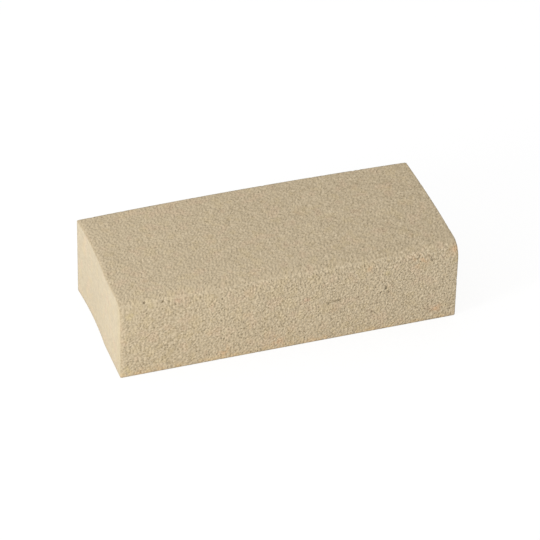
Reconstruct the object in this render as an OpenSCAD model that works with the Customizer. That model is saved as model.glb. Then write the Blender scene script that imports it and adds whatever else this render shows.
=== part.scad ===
// Dry cleaning sponge: one block of fine open-celled natural rubber foam, sawn on every side.
// Lengths are in millimetres. The block lies on its underside with its length along X and its
// front face towards -Y. The origin is under the middle of its overall box.

/* [Block] */
// Length between the corners
block_length = 150; // [100:1:200]
// Width between the corners
block_width = 65; // [50:1:90]
// Thickness, from the underside to the top
block_height = 37; // [25:0.5:50]
// Radius of the long rubbed edge between the top and the front
rubbed_radius = 6.5; // [2:0.5:10]

/* [Saw cuts] */
// How far the back face swells out at the middle of its length
back_swell = 1.5; // [0.5:0.1:3]
// How far the right end swells out at the middle of its width
right_swell = 0.6; // [0.2:0.1:1.5]
// Depth of the shallow scoop in the left end
scoop_depth = 0.8; // [0.2:0.1:1.5]
// Width of that scoop, which lies towards the back
scoop_width = 40; // [30:1:45]

/* [Open cells] */
// Smallest spacing of the large open cells
cell_pitch = 9; // [8:0.5:16]
// Radius of the smallest of them
small_cell = 0.4; // [0.3:0.05:0.6]
// Radius of the largest of them
large_cell = 0.9; // [0.6:0.05:1]
// How deep they run into the foam
cell_depth = 0.8; // [0.4:0.1:2]
// Border between a face's edges and the nearest cell's middle
cell_border = 3; // [2:0.5:5]

/* [Slit] */
// Length of the slit in the front face
slit_length = 6; // [2:0.5:12]
// Height of its mouth
slit_height = 0.5; // [0.3:0.1:1]
// How deep it runs into the foam
slit_depth = 1.2; // [0.4:0.1:3]
// Distance of its middle to the right of the block's middle
slit_offset = 19; // [0:1:35]

/* [Hidden] */
foam_tan = [0.745, 0.68, 0.575];
half_length = block_length / 2;
half_width = block_width / 2;
past = 2;
corner_land = 1;
flank_height = block_height - rubbed_radius;
deck_width = block_width - rubbed_radius;

// Radius of a circle that swells by a given height over a given chord
function arc_radius(chord, swell) = (chord * chord / 4 + swell * swell) / (2 * swell);

// How far such a circle lies in front of its chord, at a distance from the chord's middle
function arc_swell(chord, swell, distance) =
    let (radius = arc_radius(chord, swell))
    sqrt(radius * radius - distance * distance) - radius + swell;

// How many cells fit along a run with a plain border at both ends
function cell_count(run) = max(1, floor((run - 2 * cell_border) / cell_pitch));

// Where one of those cells sits along the run, measured from the run's middle
function cell_place(run, index, drift) =
    ((index + 0.5 + drift) / cell_count(run) - 0.5) * (run - 2 * cell_border);

// Loosely scattered cells over a face: place along its run, place up its rise, radius and turn
function scatter(run, rise, seed) =
    let (
        columns = cell_count(run),
        rows = cell_count(rise),
        drifts = rands(-0.3, 0.3, 2 * columns * rows, seed),
        radii = rands(small_cell, large_cell, columns * rows, seed + 1),
        turns = rands(0, 360, columns * rows, seed + 2)
    )
    [
        for (column = [0:columns - 1], row = [0:rows - 1])
            let (index = column * rows + row)
            [
                cell_place(run, column, drifts[2 * index]),
                cell_place(rise, row, drifts[2 * index + 1]),
                radii[index],
                turns[index]
            ]
    ];

// Outline seen from above: square corners, with the curved saw cuts of the back and both ends
module plan() {
    back_radius = arc_radius(block_length, back_swell);
    right_radius = arc_radius(block_width, right_swell);
    scoop_radius = arc_radius(scoop_width, scoop_depth);
    difference() {
        intersection() {
            translate([-half_length, -half_width])
                square([block_length + past, block_width + past]);
            translate([0, half_width + back_swell - back_radius])
                circle(r = back_radius, $fn = 720);
            translate([half_length + right_swell - right_radius, 0])
                circle(r = right_radius, $fn = 360);
        }
        translate([
            -half_length + scoop_depth - scoop_radius,
            half_width - corner_land - scoop_width / 2
        ])
            circle(r = scoop_radius, $fn = 360);
    }
}

// Outline seen from the right end: square corners but for the rubbed edge
module section() {
    translate([-half_width + rubbed_radius, flank_height])
        circle(r = rubbed_radius, $fn = 96);
    translate([-half_width, 0])
        square([rubbed_radius, flank_height]);
    translate([-half_width + rubbed_radius, 0])
        square([deck_width + 2 * past, block_height]);
}

// Sawn block, before its cells
module blank() {
    intersection() {
        linear_extrude(height = block_height)
            plan();
        rotate([90, 0, 90])
            translate([0, 0, -half_length - past])
                linear_extrude(height = block_length + 3 * past)
                    section();
    }
}

// One open cell under a face whose outward normal is Z: many-sided, as walled in by its neighbours
module cell(radius, turn) {
    rotate([0, 0, turn])
        translate([0, 0, -cell_depth])
            cylinder(r = radius, h = cell_depth + past, $fn = 7);
}

// Open cells in the front, above the underside and below the rubbed edge
module front_cells() {
    for (spot = scatter(block_length, flank_height, 11))
        translate([spot[0], -half_width, flank_height / 2 + spot[1]])
            rotate([90, 0, 0])
                cell(spot[2], spot[3]);
}

// Open cells in the curved back face
module back_cells() {
    for (spot = scatter(block_length, block_height, 23))
        translate([
            spot[0],
            half_width + arc_swell(block_length, back_swell, spot[0]),
            block_height / 2 + spot[1]
        ])
            rotate([-90, 0, 0])
                cell(spot[2], spot[3]);
}

// Open cells in the top, which is the finer grained side
module top_cells() {
    for (spot = scatter(block_length, deck_width, 37))
        translate([spot[0], rubbed_radius / 2 + spot[1], block_height])
            cell(0.8 * spot[2], spot[3]);
}

// Open cells in the swollen right end
module right_cells() {
    for (spot = scatter(deck_width, flank_height, 41))
        translate([
            half_length + arc_swell(block_width, right_swell, rubbed_radius / 2 + spot[0]),
            rubbed_radius / 2 + spot[0],
            flank_height / 2 + spot[1]
        ])
            rotate([0, 90, 0])
                cell(spot[2], spot[3]);
}

// Slit in the front face: a lens in plan, as deep as the foam has opened
module slit() {
    radius = arc_radius(slit_length, slit_depth);
    translate([slit_offset, -half_width + slit_depth - radius, block_height / 2])
        cylinder(r = radius, h = slit_height, $fn = 180);
}

// The whole sponge, which is one piece of foam
module sponge_block() {
    color(foam_tan)
        translate([-right_swell / 2, -back_swell / 2, 0])
            difference() {
                blank();
                front_cells();
                back_cells();
                top_cells();
                right_cells();
                slit();
            }
}

sponge_block();
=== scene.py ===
from math import ceil, pi, radians

import bmesh
import bpy
from mathutils import Matrix, Vector
from mathutils.geometry import intersect_point_line
from mathutils.kdtree import KDTree


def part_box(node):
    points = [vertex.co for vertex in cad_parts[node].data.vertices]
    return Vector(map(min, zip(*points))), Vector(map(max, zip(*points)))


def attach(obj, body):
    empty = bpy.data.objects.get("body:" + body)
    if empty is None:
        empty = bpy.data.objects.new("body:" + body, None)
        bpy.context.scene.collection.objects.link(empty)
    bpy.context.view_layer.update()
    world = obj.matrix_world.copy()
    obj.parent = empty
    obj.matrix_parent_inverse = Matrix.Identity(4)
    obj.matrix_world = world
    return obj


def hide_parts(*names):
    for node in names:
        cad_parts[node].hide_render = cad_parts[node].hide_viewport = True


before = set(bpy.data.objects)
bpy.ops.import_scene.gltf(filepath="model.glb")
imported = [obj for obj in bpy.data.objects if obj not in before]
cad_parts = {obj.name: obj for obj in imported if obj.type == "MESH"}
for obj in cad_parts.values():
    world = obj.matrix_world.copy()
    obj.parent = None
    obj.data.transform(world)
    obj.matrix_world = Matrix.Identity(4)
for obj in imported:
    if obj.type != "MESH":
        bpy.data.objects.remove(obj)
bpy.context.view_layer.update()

# The sponge is one block of vulcanised natural rubber foam. It is sawn from a larger bun, so
# its faces are flat or gently curved cuts through thousands of small cells. The top keeps the
# finer grain, and one long edge is rubbed round.
low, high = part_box("sponge_block")
MM = 0.001
same_point = 0.001 * MM
grid_step = 0.62 * MM
rubbed_radius = 6.5 * MM
rounding_y = low.y + rubbed_radius
rounding_z = high.z - rubbed_radius

bpy.ops.object.select_all(action="DESELECT")
sponge = bpy.data.objects.new("sponge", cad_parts["sponge_block"].data.copy())
bpy.context.scene.collection.objects.link(sponge)
sponge.data.materials.clear()
bpy.context.view_layer.objects.active = sponge
sponge.select_set(True)
bpy.ops.object.mode_set(mode="EDIT")
bpy.ops.mesh.select_all(action="SELECT")
bpy.ops.mesh.remove_doubles(threshold=same_point)
bpy.ops.object.mode_set(mode="OBJECT")

# Two cuts of the saw meet in long, sharp edges. The rims of the open cells are shorter, and the
# long rims of the slit lie inside the front face, away from its borders.
shortest_saw_edge = 0.85 * MM
saw_edge_angle = radians(60.0)
front_slack = 0.1 * MM
front_border = 1.0 * MM


def is_saw_edge(edge):
    """Whether two cuts of the saw meet in an edge."""
    middle = (edge.verts[0].co + edge.verts[1].co) / 2
    in_front = (abs(middle.y - low.y) < front_slack
                and low.z + front_border < middle.z < rounding_z - front_border
                and low.x + front_border < middle.x < high.x - front_border)
    is_sharp = edge.calc_face_angle(0.0) > saw_edge_angle
    return edge.calc_length() > shortest_saw_edge and is_sharp and not in_front


shell = bmesh.new()
shell.from_mesh(sponge.data)
saw_edges = [tuple(end.co.copy() for end in edge.verts)
             for edge in shell.edges if is_saw_edge(edge)]
shell.free()
grid = sponge.modifiers.new("even_grid", "REMESH")
grid.mode = "VOXEL"
grid.voxel_size = grid_step
grid.use_smooth_shade = True
bpy.ops.object.modifier_apply(modifier=grid.name)

# The even grid cuts off the corners of the sawn edges, so the points next to an edge are put on
# it. What then lies too close together is merged, and a stray flap of one face goes.
edge_reach = 0.45 * MM
edge_samples = 0.3 * MM
too_close = 0.1 * MM
points = KDTree(len(sponge.data.vertices))
for point in sponge.data.vertices:
    points.insert(point.co, point.index)
points.balance()
nearest = {}
for start, end in saw_edges:
    samples = ceil((end - start).length / edge_samples)
    for sample in range(samples + 1):
        for place, index, _ in points.find_range(start.lerp(end, sample / samples), edge_reach):
            _, share = intersect_point_line(place, start, end)
            target = start.lerp(end, min(max(share, 0.0), 1.0))
            away = (place - target).length
            if away < nearest.get(index, (edge_reach, None))[0]:
                nearest[index] = (away, target)
for index, (_, target) in nearest.items():
    sponge.data.vertices[index].co = target
bpy.ops.object.mode_set(mode="EDIT")
bpy.ops.mesh.select_all(action="SELECT")
bpy.ops.mesh.remove_doubles(threshold=too_close)
bpy.ops.mesh.select_all(action="DESELECT")
bpy.ops.mesh.select_mode(type="EDGE")
bpy.ops.mesh.select_non_manifold(use_wire=False, use_multi_face=False,
                                 use_non_contiguous=False, use_verts=False)
bpy.ops.mesh.delete(type="EDGE")
bpy.ops.mesh.select_mode(type="VERT")
bpy.ops.object.mode_set(mode="OBJECT")


def soften(name, rounds, group=""):
    """Rounds the sponge, or one group of its points, by evening each point with its neighbours."""
    smooth = sponge.modifiers.new(name, "SMOOTH")
    smooth.vertex_group = group
    smooth.factor = 0.5
    smooth.iterations = rounds
    bpy.ops.object.modifier_apply(modifier=smooth.name)


soften("soft_edges", 1)

# The left end's edges against the top and the front are worn rounder than the others. The wear
# stops just above the underside and short of the back.
rim_depth = 4.0 * MM
rim_keep = 3.0 * MM
rim_foot = 1.0 * MM
rim_rounds = 9
rim = sponge.vertex_groups.new(name="left_rim")
rim.add([point.index for point in sponge.data.vertices
         if point.co.x < low.x + rim_depth and point.co.y < high.y - rim_keep
         and point.co.z > low.z + rim_foot
         and (point.co.z > low.z + rim_keep or point.co.y < low.y + rim_keep)], 1.0, "REPLACE")
soften("worn_rim", rim_rounds, rim.name)
sponge.vertex_groups.clear()

# The larger cells are cut into the mesh itself. Each is a dent along the face's own normal, and
# the crease along the rubbed edge stands a little proud.
mesh_tree = bpy.data.node_groups.new("open_cells", "GeometryNodeTree")
mesh_tree.interface.new_socket("Geometry", in_out="INPUT", socket_type="NodeSocketGeometry")
mesh_tree.interface.new_socket("Geometry", in_out="OUTPUT", socket_type="NodeSocketGeometry")
mesh_in = mesh_tree.nodes.new("NodeGroupInput")
mesh_out = mesh_tree.nodes.new("NodeGroupOutput")


def plug(tree, socket, value):
    """Sets an input socket to a number or a vector, or links another node's output to it."""
    if isinstance(value, bpy.types.NodeSocket):
        tree.links.new(value, socket)
    else:
        socket.default_value = value


def math(tree, operation, *values):
    """Adds a Math node and returns its result."""
    node = tree.nodes.new("ShaderNodeMath")
    node.operation = operation
    for socket, value in zip(node.inputs, values):
        plug(tree, socket, value)
    return node.outputs[0]


def product(tree, value, *factors):
    """Multiplies a value by one or more others."""
    for factor in factors:
        value = math(tree, "MULTIPLY", value, factor)
    return value


def remainder(tree, value):
    """What a value leaves of 1."""
    return math(tree, "SUBTRACT", 1.0, value)


def vector(tree, operation, first, second=None, scale=None):
    """Adds a Vector Math node and returns its result."""
    node = tree.nodes.new("ShaderNodeVectorMath")
    node.operation = operation
    plug(tree, node.inputs[0], first)
    if second is not None:
        plug(tree, node.inputs[1], second)
    if scale is not None:
        plug(tree, node.inputs["Scale"], scale)
    return node.outputs["Value"] if operation == "DISTANCE" else node.outputs[0]


def ramp(tree, value, start, end, low_result=0.0, high_result=1.0, curve="SMOOTHSTEP"):
    """Carries a value from one result to another as it passes from start to end."""
    node = tree.nodes.new("ShaderNodeMapRange")
    node.interpolation_type = curve
    plug(tree, node.inputs["Value"], value)
    plug(tree, node.inputs["From Min"], start)
    plug(tree, node.inputs["From Max"], end)
    plug(tree, node.inputs["To Min"], low_result)
    plug(tree, node.inputs["To Max"], high_result)
    return node.outputs["Result"]


def cells(tree, place, size):
    """Closely packed cells of about the given size, in the units of the place."""
    node = tree.nodes.new("ShaderNodeTexVoronoi")
    plug(tree, node.inputs["Vector"], place)
    plug(tree, node.inputs["Scale"], 1.0 / size)
    return node.outputs


def split(tree, place):
    """The three parts of a vector."""
    node = tree.nodes.new("ShaderNodeSeparateXYZ")
    plug(tree, node.inputs[0], place)
    return node.outputs


def from_rounding(tree, place):
    """How far a point lies in front of and above the middle line of the edge's rounding."""
    parts = split(tree, place)
    forward = math(tree, "SUBTRACT", rounding_y / MM, parts["Y"])
    upward = math(tree, "SUBTRACT", parts["Z"], rounding_z / MM)
    return forward, upward


def edge_angle(tree, place):
    """Angle round the rubbed edge in degrees, from 0 where it leaves the top to 90 at the front."""
    return math(tree, "DEGREES", math(tree, "ARCTAN2", *from_rounding(tree, place)))


# Angle round the rubbed edge, in degrees, at which the front's cut meets it in a crease.
crease_angle = 41.5


def past_crease(tree, place):
    """How many degrees a point lies past the crease, towards the front."""
    return math(tree, "SUBTRACT", edge_angle(tree, place), crease_angle)


# Places of the deepest cells, in millimetres, with the radius of each mouth. The last three
# make one short curved crack. Each has its full depth within a share of its radius.
deep_cells = [
    ((-64.1, -30.9, 35.5), 0.7),
    ((-56.2, -31.5, 35.0), 0.65),
    ((-53.8, -31.8, 34.6), 0.35),
    ((42.5, -33.2, 21.6), 0.75),
    ((36.5, -33.2, 10.4), 0.65),
    ((40.1, -33.2, 19.7), 0.4),
    ((43.8, -33.2, 18.9), 0.35),
    ((61.9, -32.1, 34.0), 0.3),
    ((62.7, -32.6, 33.2), 0.35),
    ((62.9, -33.0, 32.0), 0.3),
]
pit_floor = 0.3


def deep_pits(tree, place):
    """Depth of the few deepest cells, from 0 at their rims to 1 at their middles."""
    depth = 0.0
    for spot, radius in deep_cells:
        away = vector(tree, "DISTANCE", place, spot)
        depth = math(tree, "MAXIMUM", depth, ramp(tree, away, radius, pit_floor * radius))
    return depth


# The thin slit in the front and a shorter one past its right end, in millimetres: the middle's
# X and Z, the half length, and the half height of the mouth. Both climb a little to the right.
slits = [
    (19.2, 19.25, 3.6, 0.4),
    (29.1, 19.3, 1.4, 0.25),
]
slit_slope = 0.06
slit_full_share = 0.7
slit_reach = 1.5
slit_full_reach = 1.0


def slit_lines(tree, place):
    """Depth of the thin slits in the front, from 0 beside them to 1 in their middles."""
    parts = split(tree, place)
    depth = 0.0
    for middle_x, middle_z, half_length, half_height in slits:
        height = math(tree, "MULTIPLY_ADD", parts["X"], slit_slope,
                      middle_z - slit_slope * middle_x)
        beside = math(tree, "ABSOLUTE", math(tree, "SUBTRACT", parts["Z"], height))
        along = math(tree, "ABSOLUTE", math(tree, "SUBTRACT", parts["X"], middle_x))
        mouth = product(tree, ramp(tree, beside, half_height, pit_floor * half_height),
                        ramp(tree, along, half_length, slit_full_share * half_length))
        depth = math(tree, "MAXIMUM", depth, mouth)
    on_front = ramp(tree, parts["Y"], low.y / MM + slit_reach, low.y / MM + slit_full_reach)
    return product(tree, depth, on_front)


def store(tree, geometry, name, value, kind="FLOAT"):
    """Keeps a value on every point of the mesh under a name that the material reads."""
    node = tree.nodes.new("GeometryNodeStoreNamedAttribute")
    node.data_type = kind
    node.domain = "POINT"
    node.inputs["Name"].default_value = name
    tree.links.new(geometry, node.inputs["Geometry"])
    plug(tree, node.inputs["Value"], value)
    return node.outputs["Geometry"]


here = vector(mesh_tree, "SCALE", mesh_tree.nodes.new("GeometryNodeInputPosition").outputs[0],
              scale=1.0 / MM)
facing = split(mesh_tree, mesh_tree.nodes.new("GeometryNodeInputNormal").outputs[0])

# Which of the block's faces a point is on, from 0 to 1. A face begins and is full where its own
# part of the point's normal reaches these limits, and the front starts at the crease, give or
# take some degrees. The sawn faces are the front, the back and the right end.
face_begins = 0.5
face_full = 0.9
left_begins = 0.7
left_full = 0.96
front_blend = 0.2
crease_blend = 6.0
left_end = ramp(mesh_tree, facing["X"], -left_begins, -left_full)
right_end = ramp(mesh_tree, facing["X"], face_begins, face_full)
back_face = ramp(mesh_tree, facing["Y"], face_begins, face_full)
underside = ramp(mesh_tree, facing["Z"], -face_begins, -face_full)
below_crease = ramp(mesh_tree, past_crease(mesh_tree, here), -crease_blend, crease_blend)
faces_front = ramp(mesh_tree, facing["Y"], front_blend, -front_blend)
front_face = product(mesh_tree, below_crease, faces_front, remainder(mesh_tree, underside))
sawn = math(mesh_tree, "MAXIMUM", front_face, math(mesh_tree, "MAXIMUM", right_end, back_face))
sawn = product(mesh_tree, sawn, remainder(mesh_tree, left_end))
open_face = remainder(mesh_tree, math(mesh_tree, "MAXIMUM", left_end, underside))

# Depths are in millimetres, and the mouth and the floor of a cell are shares of its spacing. The
# top's cells are shallower than the sawn faces', and the deepest cells and the slits are 1 deep.
cell_spacing = 3.4
cell_mouth = 0.24
cell_floor = 0.1
cell_depth = 0.22
top_share = 0.2
crease_spread = 14.0
crease_rise = 0.06
crease = ramp(mesh_tree, math(mesh_tree, "ABSOLUTE", past_crease(mesh_tree, here)),
              crease_spread, 0.0)
bulk = cells(mesh_tree, here, cell_spacing)["Distance"]
dent = product(mesh_tree, ramp(mesh_tree, bulk, cell_mouth, cell_floor, 0.0, cell_depth), open_face,
               math(mesh_tree, "MULTIPLY_ADD", sawn, 1.0 - top_share, top_share))
dent = math(mesh_tree, "MAXIMUM", dent, deep_pits(mesh_tree, here))
dent = math(mesh_tree, "MAXIMUM", dent, slit_lines(mesh_tree, here))
rise = product(mesh_tree, crease, open_face, crease_rise)
lift = math(mesh_tree, "SUBTRACT", rise, dent)
kept = store(mesh_tree, mesh_in.outputs[0], "sawn", sawn)
kept = store(mesh_tree, kept, "left_end", left_end)
kept = store(mesh_tree, kept, "leftward", product(mesh_tree, facing["X"], -1.0))
kept = store(mesh_tree, kept, "uncut", here, "FLOAT_VECTOR")
push = mesh_tree.nodes.new("GeometryNodeSetPosition")
mesh_tree.links.new(kept, push.inputs["Geometry"])
normal = mesh_tree.nodes.new("GeometryNodeInputNormal").outputs[0]
plug(mesh_tree, push.inputs["Offset"],
     vector(mesh_tree, "SCALE", normal, scale=product(mesh_tree, lift, MM)))
mesh_tree.links.new(push.outputs[0], mesh_out.inputs[0])
opening = sponge.modifiers.new("open_cells", "NODES")
opening.node_group = mesh_tree
bpy.ops.object.modifier_apply(modifier=opening.name)

# The foam is dull and tan. Its smallest cells and the torn walls between them are bump and
# colour, and every pattern is laid out in millimetres of the block itself.
foam = bpy.data.materials.new("rubber_foam")
foam.use_nodes = True
tree = foam.node_tree
shader = tree.nodes["Principled BSDF"]
shader.inputs["Roughness"].default_value = 0.92
shader.inputs["Specular IOR Level"].default_value = 0.25


def paint(red, green, blue):
    """A colour written as 0 to 255 on screen, as the shader takes it."""
    parts = [value / 255 for value in (red, green, blue)]
    return [part / 12.92 if part <= 0.04045 else ((part + 0.055) / 1.055) ** 2.4
            for part in parts] + [1.0]


def blend(tree, factor, first, second):
    """Mixes two colours."""
    node = tree.nodes.new("ShaderNodeMix")
    node.data_type = "RGBA"
    plug(tree, node.inputs["Factor"], factor)
    plug(tree, node.inputs[6], first)
    plug(tree, node.inputs[7], second)
    return node.outputs[2]


def coat(tree, under, where, share, over):
    """Lays one colour over another where a value says so, and at most by a share."""
    return blend(tree, product(tree, where, share), under, over)


def choose(tree, factor, first, second):
    """Mixes two numbers."""
    node = tree.nodes.new("ShaderNodeMix")
    node.data_type = "FLOAT"
    plug(tree, node.inputs["Factor"], factor)
    plug(tree, node.inputs[2], first)
    plug(tree, node.inputs[3], second)
    return node.outputs[0]


def kept_value(tree, name, output="Fac"):
    """Reads a value that the mesh keeps on its points."""
    node = tree.nodes.new("ShaderNodeAttribute")
    node.attribute_name = name
    return node.outputs[output]


spot = vector(tree, "SCALE", tree.nodes.new("ShaderNodeTexCoord").outputs["Object"],
              scale=1.0 / MM)
parts = split(tree, spot)
is_sawn = kept_value(tree, "sawn")
is_left = kept_value(tree, "left_end")
# How far each point faces to the left: 1 straight to the left, and less than 0 to the right.
leftward = kept_value(tree, "leftward")
# Where each point lay before the cells were opened, in millimetres.
uncut = kept_value(tree, "uncut", "Vector")
# How far along the block each point lies, from 0 at the left to 1 at the right.
rightward = ramp(tree, parts["X"], low.x / MM, high.x / MM, curve="LINEAR")


def by_face(tree, top_left, top_right, cut_left, cut_right):
    """A value that changes from left to right over the top, and another over the sawn faces."""
    top = choose(tree, rightward, top_left, top_right)
    return choose(tree, is_sawn, top, choose(tree, rightward, cut_left, cut_right))


def noise(tree, place, size, detail=1.0):
    """Soft noise whose lumps are about the given size, in the units of the place."""
    node = tree.nodes.new("ShaderNodeTexNoise")
    plug(tree, node.inputs["Vector"], place)
    plug(tree, node.inputs["Scale"], 1.0 / size)
    plug(tree, node.inputs["Detail"], detail)
    return node.outputs["Fac"]


# The narrowest pore's mouth as a share of the widest, and the shallowest depth of the deepest.
narrowest = 0.4
shallowest = 0.3


def pores(tree, place, size, widest):
    """Small open cells, packed closely, each with a mouth and a depth of its own."""
    packed = cells(tree, place, size)
    chance = split(tree, packed["Color"])["X"]
    mouth = math(tree, "MULTIPLY_ADD", chance, (1.0 - narrowest) * widest, narrowest * widest)
    depth = ramp(tree, packed["Distance"], mouth, product(tree, mouth, pit_floor))
    return product(tree, depth,
                   math(tree, "MULTIPLY_ADD", chance, 1.0 - shallowest, shallowest))


# A ridge runs where soft noise passes its middle level, and has faded out this far from it.
noise_middle = 0.5
ridge_reach = 0.2


def worms(tree, place, size):
    """Short winding ridges, as the torn walls between small cells leave them: 1 along a ridge."""
    lumps = noise(tree, place, size, 0.0)
    aside = math(tree, "ABSOLUTE", math(tree, "SUBTRACT", lumps, noise_middle))
    return ramp(tree, aside, ridge_reach, 0.0, curve="LINEAR")


def torn_walls(tree, place, spacing, runs):
    """Torn cell walls: evenly spaced short ridges that run every way."""
    node = tree.nodes.new("ShaderNodeTexGabor")
    node.gabor_type = "3D"
    plug(tree, node.inputs["Vector"], place)
    plug(tree, node.inputs["Scale"], 1.0 / (spacing * runs))
    plug(tree, node.inputs["Frequency"], runs)
    plug(tree, node.inputs["Anisotropy"], 0.0)
    return node.outputs["Value"]


def drawn_out(tree, place, angle, size, factor):
    """The same place with everything there scaled, and drawn out along one level direction."""
    node = tree.nodes.new("ShaderNodeMapping")
    node.vector_type = "TEXTURE"
    plug(tree, node.inputs["Vector"], place)
    plug(tree, node.inputs["Rotation"], (0.0, 0.0, angle))
    plug(tree, node.inputs["Scale"], (size, size * factor, size))
    return node.outputs[0]


# The saw drew the top's grain out aslant and left it finer. Over the sawn faces the grain gets
# finer from left to right. Sizes are in millimetres before that.
top_size = 0.78
top_draw = 1.65
top_draw_angle = radians(-42.0)
fineness_left = 1.08
fineness_right = 1.25
grain_size = 1.1
worm_size = 1.5
wall_spacing = 1.7
wall_runs = 2.0
pore_size = 1.2
widest_pore = 0.5
grain_span = (0.25, 0.75)
mostly_sawn = 0.5
layout = tree.nodes.new("ShaderNodeMix")
layout.data_type = "VECTOR"
plug(tree, layout.inputs["Factor"], math(tree, "GREATER_THAN", is_sawn, mostly_sawn))
plug(tree, layout.inputs[4], drawn_out(tree, spot, top_draw_angle, top_size, top_draw))
plug(tree, layout.inputs[5],
     vector(tree, "SCALE", spot, scale=choose(tree, rightward, fineness_left, fineness_right)))
place = layout.outputs[1]
grain = ramp(tree, noise(tree, place, grain_size, 0.0), *grain_span, curve="LINEAR")
worm = worms(tree, place, worm_size)
walls = torn_walls(tree, place, wall_spacing, wall_runs)
pore = pores(tree, place, pore_size, widest_pore)

# Strengths are given for the top's left and right and for the sawn faces' left and right. The
# left end's cut is half as rough. Relief is in millimetres.
grain_relief = (0.28, 0.34, 0.22, 0.48)
pore_relief = 0.06
left_relief = 0.5
relief = product(tree, grain, by_face(tree, *grain_relief))
relief = math(tree, "SUBTRACT", relief, product(tree, pore, pore_relief))
relief = product(tree, relief, math(tree, "MULTIPLY_ADD", is_left, left_relief - 1.0, 1.0))
bump = tree.nodes.new("ShaderNodeBump")
bump.inputs["Strength"].default_value = 1.0
bump.inputs["Distance"].default_value = MM
plug(tree, bump.inputs["Height"], relief)
plug(tree, shader.inputs["Normal"], bump.outputs[0])

# Ridges are pale and hollows are darker: the grain's own tone, and partly painted shade in the
# hollows. The crease is crumbled towards the right end, so the torn walls stand out more there,
# within some degrees of it and over a share of the length.
pale = paint(218, 201, 171)
painted_hollow_shade = paint(182, 165, 135)
# The dark colour painted into pores, deep cells and slits: painted shade.
painted_cell_shade = paint(100, 84, 58)
base_tone = (0.47, 0.37, 0.42, 0.62)
worm_strength = (0.1, 0.1, 0.6, 0.2)
wall_strength = (0.9, 1.4, 0.6, 2.3)
pore_shade_strength = (0.35, 0.45, 0.5, 0.75)
worm_middle = 0.55
wall_middle = 0.5
crumble_degrees = (35.0, 5.0)
crumble_length = (0.6, 0.9)
crumble_strength = 0.8
pit_shade_share = 0.35
from_crease = math(tree, "ABSOLUTE", past_crease(tree, spot))
crumbled = product(tree, ramp(tree, from_crease, *crumble_degrees),
                   ramp(tree, rightward, *crumble_length))
crumbled = math(tree, "MULTIPLY_ADD", crumbled, crumble_strength, 1.0)
worm_tone = product(tree, math(tree, "SUBTRACT", worm, worm_middle), by_face(tree, *worm_strength))
wall_tone = product(tree, math(tree, "SUBTRACT", walls, wall_middle),
                    by_face(tree, *wall_strength), crumbled)
tone = math(tree, "ADD", math(tree, "ADD", worm_tone, wall_tone), by_face(tree, *base_tone))
# Where the tone is darker it is partly painted shade in the hollows.
colour = blend(tree, tone, painted_hollow_shade, pale)
# The pores are painted dark inside: painted shade.
colour = coat(tree, colour, pore, by_face(tree, *pore_shade_strength), painted_cell_shade)
# The deepest cells and the slits are painted dark inside: painted shade.
painted_pit_shade = math(tree, "MAXIMUM", deep_pits(tree, uncut), slit_lines(tree, uncut))
colour = coat(tree, colour, painted_pit_shade, pit_shade_share, painted_cell_shade)

# The left end, which faces the lamp, is painted a less saturated tan: painted light, standing in
# for the washed-out look of its highlight. It hardly shows its grain.
highlight_tan_dark = paint(177, 167, 147)
highlight_tan_light = paint(190, 180, 158)
left_highlight_share = 0.6
mottle_size = 2.0
mottle_span = (0.3, 0.7)
mottle = ramp(tree, noise(tree, spot, mottle_size), *mottle_span)
left_highlight_paint = blend(tree, mottle, highlight_tan_dark, highlight_tan_light)
# Painted light: the left end's washed-out tan.
colour = coat(tree, colour, is_left, left_highlight_share, left_highlight_paint)

# The rubbed edge's rounding is painted a little darker, as painted shade, and its crease is painted
# paler: paler rubbed rubber, and partly a painted highlight. Both spans are in degrees, and both
# marks lie on the edge's outer skin, given in millimetres under its full radius.
painted_shade_tan = paint(150, 134, 108)
rounding_shade_begins = (5.0, 45.0)
rounding_shade_ends = (100.0, 60.0)
rounding_shade_share = 0.11
crease_highlight_pale = paint(232, 215, 184)
crease_highlight_span = (9.0, 1.0)
crease_highlight_share = 0.24
skin_begins = 0.9
skin_full = 0.4
forward, upward = from_rounding(tree, spot)
outward = math(tree, "SQRT", math(tree, "ADD", product(tree, forward, forward),
                                  product(tree, upward, upward)))
on_round = ramp(tree, outward, rubbed_radius / MM - skin_begins, rubbed_radius / MM - skin_full)
round_angle = edge_angle(tree, spot)
# Painted shade over most of the rounding.
rounding_shade = product(tree, ramp(tree, round_angle, *rounding_shade_begins), ramp(tree, round_angle, *rounding_shade_ends),
                 on_round)
colour = coat(tree, colour, rounding_shade, rounding_shade_share, painted_shade_tan)
# The crease is painted paler: rubbed rubber, and partly a painted highlight along it.
crease_highlight = product(tree, ramp(tree, from_crease, *crease_highlight_span), on_round,
                      remainder(tree, is_left))
colour = coat(tree, colour, crease_highlight, crease_highlight_share, crease_highlight_pale)

# The foam has yellowed and reddened a little in soft patches.
patch_share = 0.1
yellowed = paint(214, 190, 132)
yellow_size = 5.0
yellow_span = (0.52, 0.68)
reddened = paint(222, 178, 152)
rose_size = 6.0
rose_span = (0.54, 0.7)
rose_shift = (31.0, 17.0, 9.0)
yellow = ramp(tree, noise(tree, spot, yellow_size), *yellow_span)
colour = coat(tree, colour, yellow, patch_share, yellowed)
rose = ramp(tree, noise(tree, vector(tree, "ADD", spot, rose_shift), rose_size), *rose_span)
colour = coat(tree, colour, rose, patch_share, reddened)

# The worn rim of the left end is painted darker where it turns away from the left, as painted
# shade, and that end is tinted within some millimetres of the front.
rim_turns = (0.99, 0.85)
rim_ends = (0.1, 0.5)
rim_shade_share = 0.32
tinted = paint(188, 172, 134)
rim_tint_begins = 8.0
rim_tint_full = 1.0
rim_tint_share = 0.3
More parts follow.
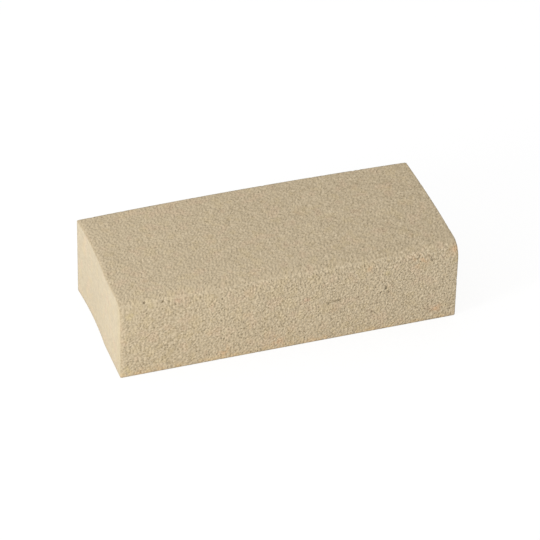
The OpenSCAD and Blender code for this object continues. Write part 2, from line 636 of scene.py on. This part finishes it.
# Painted shade on the left end's rounded rim.
rim_shade = product(tree, ramp(tree, leftward, *rim_turns), ramp(tree, leftward, *rim_ends))
colour = coat(tree, colour, rim_shade, rim_shade_share, painted_shade_tan)
rim_tint = ramp(tree, parts["Y"], low.y / MM + rim_tint_begins, low.y / MM + rim_tint_full)
colour = coat(tree, colour, product(tree, rim_tint, is_left), rim_tint_share, tinted)

# The sawn faces' lower edge is warmer in small patches, within some millimetres of the floor.
warmed = paint(226, 192, 138)
low_edge_height = (3.5, 0.5)
low_edge_share = 0.3
patchy_size = 2.5
patchy_span = (0.35, 0.65)
patchy = ramp(tree, noise(tree, spot, patchy_size), *patchy_span)
low_edge = product(tree, ramp(tree, parts["Z"], *low_edge_height), is_sawn, patchy)
colour = coat(tree, colour, low_edge, low_edge_share, warmed)

# Soft stains, in millimetres: the place, the radius and the colour of each.
straw = paint(208, 190, 140)
peach = paint(226, 172, 124)
pink = paint(220, 170, 146)
stain_share = 0.36
stains = [
    ((-70.5, -33.0, 31.5), 4.0, straw),
    ((-61.5, -31.5, 34.5), 3.5, straw),
    ((-50.0, -32.0, 34.0), 2.5, pink),
    ((-34.6, -33.2, 27.9), 2.5, pink),
    ((6.7, -33.2, 23.0), 2.5, pink),
    ((35.2, -33.0, 32.4), 2.5, peach),
    ((43.0, -33.2, 29.4), 3.0, straw),
    ((57.8, -32.8, 32.8), 5.5, peach),
    ((65.8, -33.2, 5.7), 4.0, peach),
    ((74.0, -31.5, 34.5), 3.5, peach),
    ((74.5, -33.0, 28.0), 4.5, straw),
    ((-72.0, -33.2, 3.0), 5.0, straw),
    ((-30.0, -33.2, 4.0), 4.0, peach),
    ((-6.0, -33.2, 4.0), 5.0, peach),
]
for stain_place, stain_radius, stain_paint in stains:
    away = vector(tree, "DISTANCE", spot, stain_place)
    stain = product(tree, ramp(tree, away, stain_radius, 0.0), patchy)
    colour = coat(tree, colour, stain, stain_share, stain_paint)
plug(tree, shader.inputs["Base Color"], colour)
sponge.data.materials.append(foam)

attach(sponge, "root")
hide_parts("sponge_block")

# The floor is a plain white sheet under the block. The camera sees it almost at full white, and
# it still takes the block's soft shadow and gives light back from below.
floor_size = 6.0
floor_gap = 0.05 * MM
glow_level = 1.07
glow_share = 0.8
bpy.ops.object.select_all(action="DESELECT")
bpy.ops.mesh.primitive_plane_add(size=floor_size, location=(0.0, 0.0, low.z - floor_gap))
floor = bpy.context.object
floor.name = "floor"
paper = bpy.data.materials.new("white_paper")
paper.use_nodes = True
sheet = paper.node_tree
sheet_shader = sheet.nodes["Principled BSDF"]
sheet_shader.inputs["Base Color"].default_value = (0.85, 0.85, 0.85, 1.0)
sheet_shader.inputs["Roughness"].default_value = 0.9
sheet_shader.inputs["Specular IOR Level"].default_value = 0.0
glow = sheet.nodes.new("ShaderNodeEmission")
glow.inputs["Strength"].default_value = glow_level
seen = sheet.nodes.new("ShaderNodeLightPath").outputs["Is Camera Ray"]
show = sheet.nodes.new("ShaderNodeMixShader")
plug(sheet, show.inputs[0], product(sheet, seen, glow_share))
plug(sheet, show.inputs[1], sheet_shader.outputs[0])
plug(sheet, show.inputs[2], glow.outputs[0])
plug(sheet, sheet.nodes["Material Output"].inputs["Surface"], show.outputs[0])
floor.data.materials.append(paper)

# Light: an even white room, and one soft lamp low down at the left, which lights the left end
# most and rakes across the top and the front.
room_level = 0.8
world = bpy.data.worlds.new("white_room")
world.use_nodes = True
bpy.context.scene.world = world
room = world.node_tree
room_light = room.nodes["Background"]
room_light.inputs["Color"].default_value = (1.0, 1.0, 1.0, 1.0)
camera_ray = room.nodes.new("ShaderNodeLightPath").outputs["Is Camera Ray"]
plug(room, room_light.inputs["Strength"],
     math(room, "MULTIPLY_ADD", camera_ray, 1.0 - room_level, room_level))

lamp_place = (-0.62, -0.22, 0.2)
lamp_aim = Vector((-0.02, 0.0, 0.02))
lamp_data = bpy.data.lights.new("side_lamp", "AREA")
lamp_data.shape = "DISK"
lamp_data.size = 0.2
lamp_data.energy = 2.6
side_lamp = bpy.data.objects.new("side_lamp", lamp_data)
bpy.context.scene.collection.objects.link(side_lamp)
side_lamp.location = lamp_place
lamp_way = lamp_aim - side_lamp.location
side_lamp.rotation_euler = lamp_way.to_track_quat("-Z", "Y").to_euler()

# The camera stands to the left of the front and looks down on the block through a long lens. It
# aims at a point near the block's middle, shifted in the picture's own plane.
view_turn = radians(-19.33)
view_rise = radians(36.39)
view_roll = radians(1.39)
view_distance = 1.487
view_middle = Vector((-0.0003, -0.00075, 0.0))
view_shift = Vector((0.00185, 0.013925, 0.0))
bpy.ops.object.camera_add()
camera = bpy.context.object
camera.name = "camera"
camera.data.lens = 229.36
camera.data.sensor_width = 36.0
turn = (Matrix.Rotation(view_turn, 4, "Z") @ Matrix.Rotation(pi / 2 - view_rise, 4, "X")
        @ Matrix.Rotation(view_roll, 4, "Z"))
aim = view_middle + turn @ view_shift
camera.matrix_world = Matrix.Translation(aim + turn @ Vector((0.0, 0.0, view_distance))) @ turn
bpy.context.scene.camera = camera
bpy.context.scene.view_settings.view_transform = "Standard"
